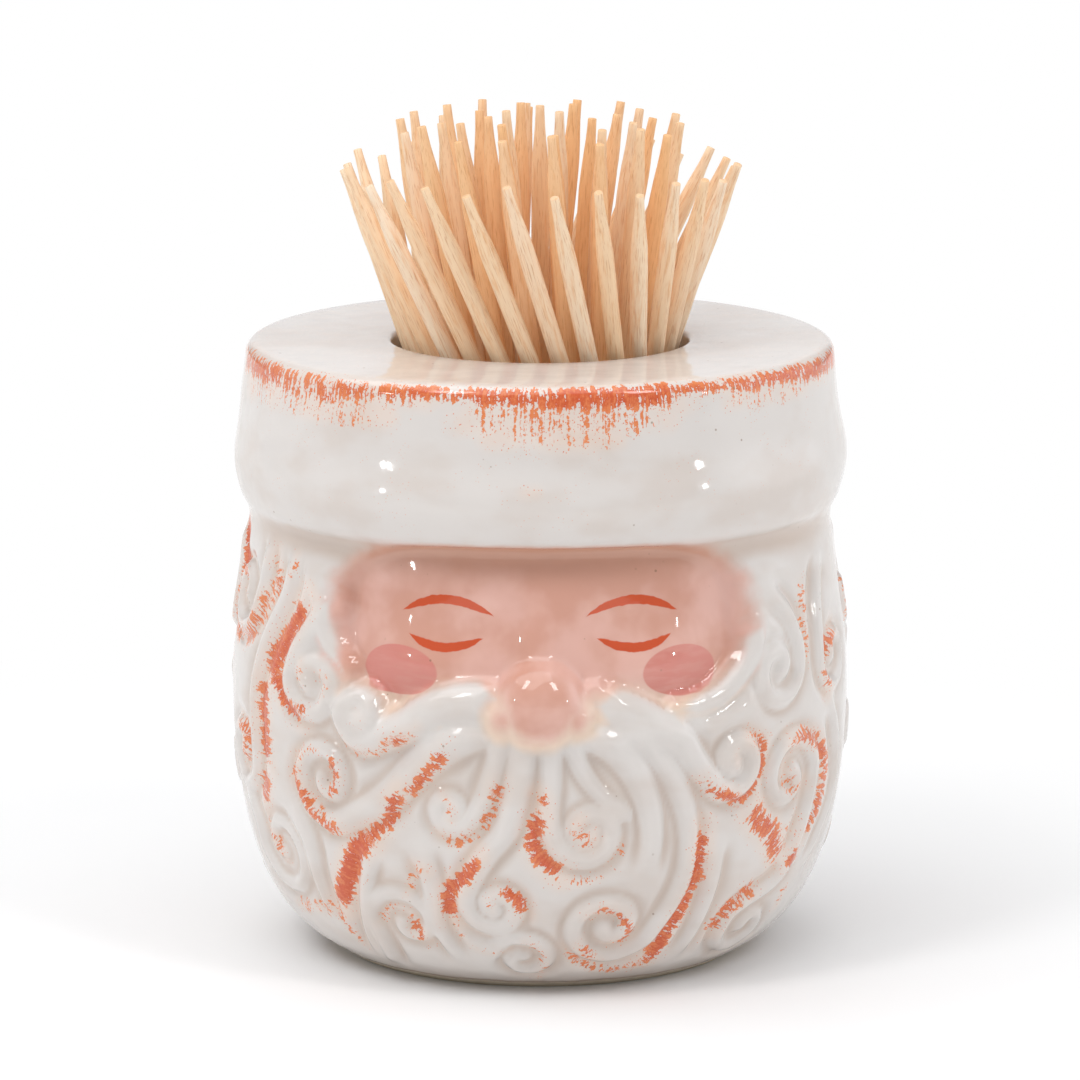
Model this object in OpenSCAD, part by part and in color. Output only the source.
/* [Body] */
// Height of the ceramic body
body_h = 65; // [60:0.5:75]
// Width of the ceramic body at its fullest
body_w = 66; // [62:0.5:76]
// Rounding of the top's outer edge
edge_r = 1.4; // [0.8:0.1:2]

/* [Face] */
// Radius of the nose
nose_r = 5.6; // [4.5:0.1:6]
// Width of the face's sunk panel
face_w = 44; // [40:0.5:48]
// Height of the face's sunk panel
face_h = 18.8; // [16:0.2:20]
// Depth of the panel under the hair
face_depth = 1.3; // [0.8:0.1:2]
// Radius of a cheek
cheek_r = 5.2; // [4:0.1:6]

/* [Beard] */
// Radius of a curl, to the middle of its roll
curl_r = 3.4; // [2.6:0.1:4]
// Thickness of a lock of hair
lock_d = 3.4; // [2.6:0.1:4]
// How far a lock stands proud of the body
lock_rise = 0.8; // [0.4:0.1:1.2]
// Length of a lock
lock_len = 10; // [8:0.5:12]
// Length of a moustache's half
moustache_len = 18; // [14:0.5:21]
// Thickness of a moustache's half
moustache_d = 6.4; // [5:0.1:7]
// How far the moustache stands proud of the body
moustache_rise = 1.4; // [0.8:0.1:1.8]

/* [Well] */
// Diameter of the well that holds the toothpicks
well_d = 31.2; // [30.8:0.1:34]
// Depth of the well under the flat top
well_depth = 41; // [36:0.5:44]
// Rounding of the mouth's lip
lip_r = 0.6; // [0.4:0.1:1]

/* [Foot] */
// Outer diameter of the flat foot ring
foot_d = 42.6; // [40:0.2:46]
// Width of the flat foot ring
foot_ring_w = 3.2; // [2:0.1:5]
// Thickness of the well's floor over the recess
floor_thickness = 7.5; // [6:0.5:12]
// How much the recess narrows on each side on its way up
recess_draft = 1.5; // [0:0.1:3]

/* [Toothpicks] */
// Length of a toothpick
pick_len = 65; // [60:0.5:70]
// How far a toothpick's length strays from the stated one
pick_len_spread = 0.7; // [0:0.1:1]
// Diameter of a toothpick
pick_d = 1.9; // [1.4:0.05:1.9]
// Diameter of a toothpick's blunt end
tip_d = 0.95; // [0.7:0.05:1.1]
// Length of the slim part behind a blunt end
tip_len = 2.2; // [1:0.1:3]
// Length from a blunt end to the full diameter
taper_len = 7.4; // [5:0.1:12]
// Toothpicks in the outer ring
outer_count = 28; // [20:1:28]
// Toothpicks in the middle ring
middle_count = 18; // [12:1:18]
// Toothpicks in the inner ring
inner_count = 12; // [6:1:12]
// Toothpicks round the central one
centre_count = 6; // [3:1:6]

/* [Hidden] */
body_r = body_w / 2;
well_r = well_d / 2;
foot_r = foot_d / 2;
pick_r = pick_d / 2;
tip_r = tip_d / 2;
cut = 1;               // overrun of every cut
seat_gap = 0.1;        // between a toothpick's lowest point and the well's floor
tip_neck_share = 1.15; // the slim part's diameter where it meets the taper, to the tip's
floor_z = body_h - well_depth;
recess_depth = floor_z - floor_thickness;
well_fillet = 0.5;

// The outline climbs from the foot through the full beard to the waist, and over the cap's band.
// Each pair holds a height and a radius, as shares of the body's height and of its radius.
outline_shares = [[0.030, 0.732], [0.100, 0.852], [0.200, 0.930], [0.320, 0.970], [0.430, 0.980],
    [0.550, 0.968], [0.640, 0.940], [0.697, 0.932], [0.750, 0.948], [0.820, 0.976], [0.900, 0.958]];
edge_share = 0.941; // the top's outer radius to the body's
outline_steps = 2;  // points on each stretch of the outline
arc_steps = 6;      // points on each rounded edge

// Where the nose stands, as shares of the body's height and radius.
nose_height_share = 0.5;
nose_out_share = 0.866;

// The face's panel and its cheeks: shares of the height at which their middles stand, and the cheeks' angle.
face_height_share = 0.606;
face_corner = 3.4; // how square the panel's corners are
face_points = 32;  // points round the panel
cheek_height_share = 0.51;
cheek_angle = 28;  // from the front, to each side
cheek_seat_share = 0.25; // how deep a cheek sits in the panel's ground, to its radius

// The moustache's halves: an angle from the front, a share of the height, and the way they point.
moustache_shares = [[-17, 0.475, 20], [21, 0.441, -35]];

// The beard's curls in front: an angle from the front, a share of the height, and of the curl's radius.
curl_shares = [[-33.5, 0.462, 0.80], [37, 0.395, 1.05], [-40.5, 0.360, 1.10], [-15, 0.333, 0.95],
    [8.5, 0.297, 1.05], [14.5, 0.132, 0.95], [-8.5, 0.171, 0.95], [-47, 0.508, 0.80], [47, 0.514, 0.80],
    [-71, 0.612, 0.85], [70, 0.570, 0.85], [-70, 0.352, 0.95], [54, 0.350, 1.05], [-60, 0.217, 1.00],
    [46, 0.105, 0.80], [-29, 0.125, 0.75]];

// The locks in front: an angle, a share of the height, the way they point, and a share of a lock's length.
lock_shares = [[-24, 0.395, 41, 1.60], [20.5, 0.360, -54, 1.55], [28.5, 0.195, 93, 1.20], [1.8, 0.378, 87, 1.00],
    [11, 0.390, -60, 0.90], [-50, 0.590, 60, 1.00], [50, 0.590, -57, 1.00], [-64.5, 0.668, 95, 0.70],
    [64.5, 0.640, 92, 1.00], [-63, 0.450, 97, 1.10], [60, 0.235, 59, 0.95], [-50, 0.140, 112, 1.10]];

// The rows of curls round the sides and the back: a share of the height, how many, and a share of the curl's radius.
row_shares = [[0.545, 7, 0.95], [0.335, 8, 0.95], [0.150, 6, 0.80]];
row_from = 92;       // the angle from the front at which each row starts
row_to = 268;
row_wave_share = 0.03; // how far neighbours in a row stand higher and lower, to the body's height
lock_outline_shares = [[0, -0.5], [1, -0.15], [0.88, 0.2], [0, 0.5]]; // radius and length
slope_step = 1;      // height over which the side's lean is taken

// How the toothpicks of each ring stand: the radius at which they pass closest to the axis,
// the height of that waist over the well's floor, and their slope there, outward per unit of height.
outer_waist_r = 10.2;
outer_waist_z = well_depth / 2;
outer_slope = 0.465;
middle_waist_r = 6.15;
middle_slope = 0.21;
inner_waist_r = 4.1;
inner_slope = 0.15;
centre_waist_r = 2.03;
centre_slope = 0.08;
len_turn = 137.5; // degrees between the lengths of neighbouring toothpicks

function number(i) = str(i < 9 ? "0" : "", i + 1);
function names(stem, count) = [for (i = [0:count - 1]) str(stem, number(i))];

// One point of a smooth curve through four points, at share t between the second and the third.
function blend(p, t) = 0.5 * (2 * p[1] + (p[2] - p[0]) * t
    + (2 * p[0] - 5 * p[1] + 4 * p[2] - p[3]) * t * t + (3 * p[1] - p[0] - 3 * p[2] + p[3]) * t * t * t);

function smooth(points, steps) = let (last = len(points) - 1) [
    for (i = [0:last - 1], s = [0:steps - 1])
        blend([points[max(i - 1, 0)], points[i], points[i + 1], points[min(i + 2, last)]], s / steps),
    points[last]];

function arc(centre, radius, from, to) = [for (i = [0:arc_steps])
    centre + radius * [cos(from + (to - from) * i / arc_steps), sin(from + (to - from) * i / arc_steps)]];

// The side's outline, from the foot to the top's rounded edge, as points of radius and height.
function side_outline() = let (top_r = body_r * edge_share)
    concat(smooth(concat([[foot_r, 0]],
            [for (share = outline_shares) [body_r * share[1], body_h * share[0]]],
            [[top_r, body_h - edge_r]]), outline_steps),
        arc([top_r - edge_r, body_h - edge_r], edge_r, 0, 90));

module body_blank() {
    rotate_extrude($fn = 128)
        polygon(concat([[0, 0]], side_outline(),
            arc([well_r + lip_r, body_h - lip_r], lip_r, 90, 180),
            [[well_r, floor_z + well_fillet], [well_r - well_fillet, floor_z], [0, floor_z]]));
}

module foot_recess() {
    recess_r = foot_r - foot_ring_w;
    rotate_extrude($fn = 128)
        polygon([[0, -cut], [recess_r, -cut], [recess_r, 0], [recess_r - recess_draft, recess_depth],
            [0, recess_depth]]);
}

module nose() {
    translate([0, -body_r * nose_out_share, body_h * nose_height_share])
        sphere(r = nose_r, $fn = 64);
}

// The side's radius at a height, and how far it leans out there.
function side_r(z) = lookup(z, [for (point = side_outline()) [point[1], point[0]]]);
function lean(z) = atan((side_r(z + slope_step) - side_r(z - slope_step)) / (2 * slope_step));

// Stands its children on the side, at an angle from the front, with their Z outwards and their Y up.
module on_side(angle, z) {
    rotate([0, 0, angle])
        translate([0, -side_r(z), z])
            rotate([90 + lean(z), 0, 0])
                children();
}

// A sine or cosine turned into one for a panel with squarer corners.
function squared(value) = sign(value) * pow(abs(value), 2 / face_corner);

// What the sunk panel of the face takes off the body: a block through the front, kept off the ground behind.
module face_panel() {
    difference() {
        translate([0, 0, body_h * face_height_share])
            rotate([90, 0, 0])
                linear_extrude(body_r + cut)
                    polygon([for (i = [0:face_points - 1]) let (turn = 360 * (i + 0.5) / face_points)
                        [squared(cos(turn)) * face_w / 2, squared(sin(turn)) * face_h / 2]]);
        rotate_extrude($fn = 128)
            polygon(concat([[0, 0]], [for (point = side_outline()) [point[0] - face_depth, point[1]]],
                [[0, body_h]]));
    }
}

// A cheek is a low dome on the panel's ground.
module cheek(angle) {
    seat = cheek_r * cheek_seat_share;
    on_side(angle, body_h * cheek_height_share)
        translate([0, 0, -face_depth])
            rotate_extrude($fn = 48)
                polygon([[0, -seat], [cheek_r, -seat], for (turn = [0:22.5:90])
                    [cheek_r * cos(turn), face_depth * sin(turn) - seat * (1 - sin(turn))]]);
}

// A lock of hair along X, thickest in its middle, sunk so that it stands proud by its rise.
module lock(length, thick, rise) {
    translate([0, 0, rise - thick / 2])
        rotate([0, 90, 0])
            rotate_extrude($fn = 32)
                polygon([for (point = lock_outline_shares) [point[0] * thick / 2, point[1] * length]]);
}

module curl(radius) {
    translate([0, 0, lock_rise - lock_d / 2])
        rotate_extrude($fn = 48)
            translate([radius, 0])
                circle(d = lock_d, $fn = 24);
}

module beard() {
    for (half = moustache_shares)
        on_side(half[0], body_h * half[1])
            rotate([0, 0, half[2]])
                lock(moustache_len, moustache_d, moustache_rise);
    for (spot = curl_shares)
        on_side(spot[0], body_h * spot[1])
            curl(curl_r * spot[2]);
    for (spot = lock_shares)
        on_side(spot[0], body_h * spot[1])
            rotate([0, 0, spot[2]])
                lock(lock_len * spot[3], lock_d, lock_rise);
}

// The curls that go round the back, each with a lock that comes down to its side.
module back_beard() {
    for (row = row_shares, i = [0:row[1] - 1]) {
        way = i % 2 == 0 ? 1 : -1;
        radius = curl_r * row[2];
        angle = row_from + (row_to - row_from) * i / (row[1] - 1);
        z = body_h * (row[0] + row_wave_share * way);
        on_side(angle, z)
            curl(radius);
        on_side(angle + way * radius / side_r(z) * 180 / PI, z + lock_len / 2)
            rotate([0, 0, 90])
                lock(lock_len, lock_d, lock_rise);
    }
}

module holder_body() {
    color("whitesmoke")
        difference() {
            union() {
                difference() {
                    body_blank();
                    face_panel();
                }
                nose();
                cheek(cheek_angle);
                cheek(-cheek_angle);
                beard();
                back_beard();
            }
            foot_recess();
        }
}

// A toothpick along +Z, tapered at both ends.
module pick(length) {
    slim_r = tip_r * tip_neck_share;
    half_outline = [[tip_r, 0], [slim_r, tip_len], [pick_r, taper_len]];
    color("burlywood")
        rotate_extrude($fn = 24)
            polygon(concat([[0, 0]], half_outline,
                [for (i = [2:-1:0]) [half_outline[i][0], length - half_outline[i][1]]], [[0, length]]));
}

// A toothpick of a ring, on a straight line that leans round the ring's waist and seats on the floor.
module ring_pick(i, count, waist_r, waist_z, slope, turn_share = 0) {
    around = 360 * (i + turn_share) / count;
    tilt = atan(slope);
    start_z = floor_z + seat_gap + tip_r * sin(tilt);
    rise = start_z - floor_z - waist_z;
    length = pick_len + pick_len_spread * sin(len_turn * (i + count));
    rotate([0, 0, around])
        translate([waist_r, -slope * rise, start_z])
            rotate([tilt, 0, 0])
                pick(length);
}

module outer_pick(i) {
    ring_pick(i, outer_count, outer_waist_r, outer_waist_z, outer_slope);
}

module middle_pick(i) {
    ring_pick(i, middle_count, middle_waist_r, 0, middle_slope);
}

module inner_pick(i) {
    ring_pick(i, inner_count, inner_waist_r, 0, inner_slope, 0.5);
}

module centre_picks() {
    ring_pick(0, 1, 0, 0, 0);
    for (i = [0:centre_count - 1])
        ring_pick(i, centre_count, centre_waist_r, 0, centre_slope);
}

holder_body();
for (i = [0:outer_count - 1])
    outer_pick(i);
for (i = [0:middle_count - 1])
    middle_pick(i);
for (i = [0:inner_count - 1])
    inner_pick(i);
centre_picks();
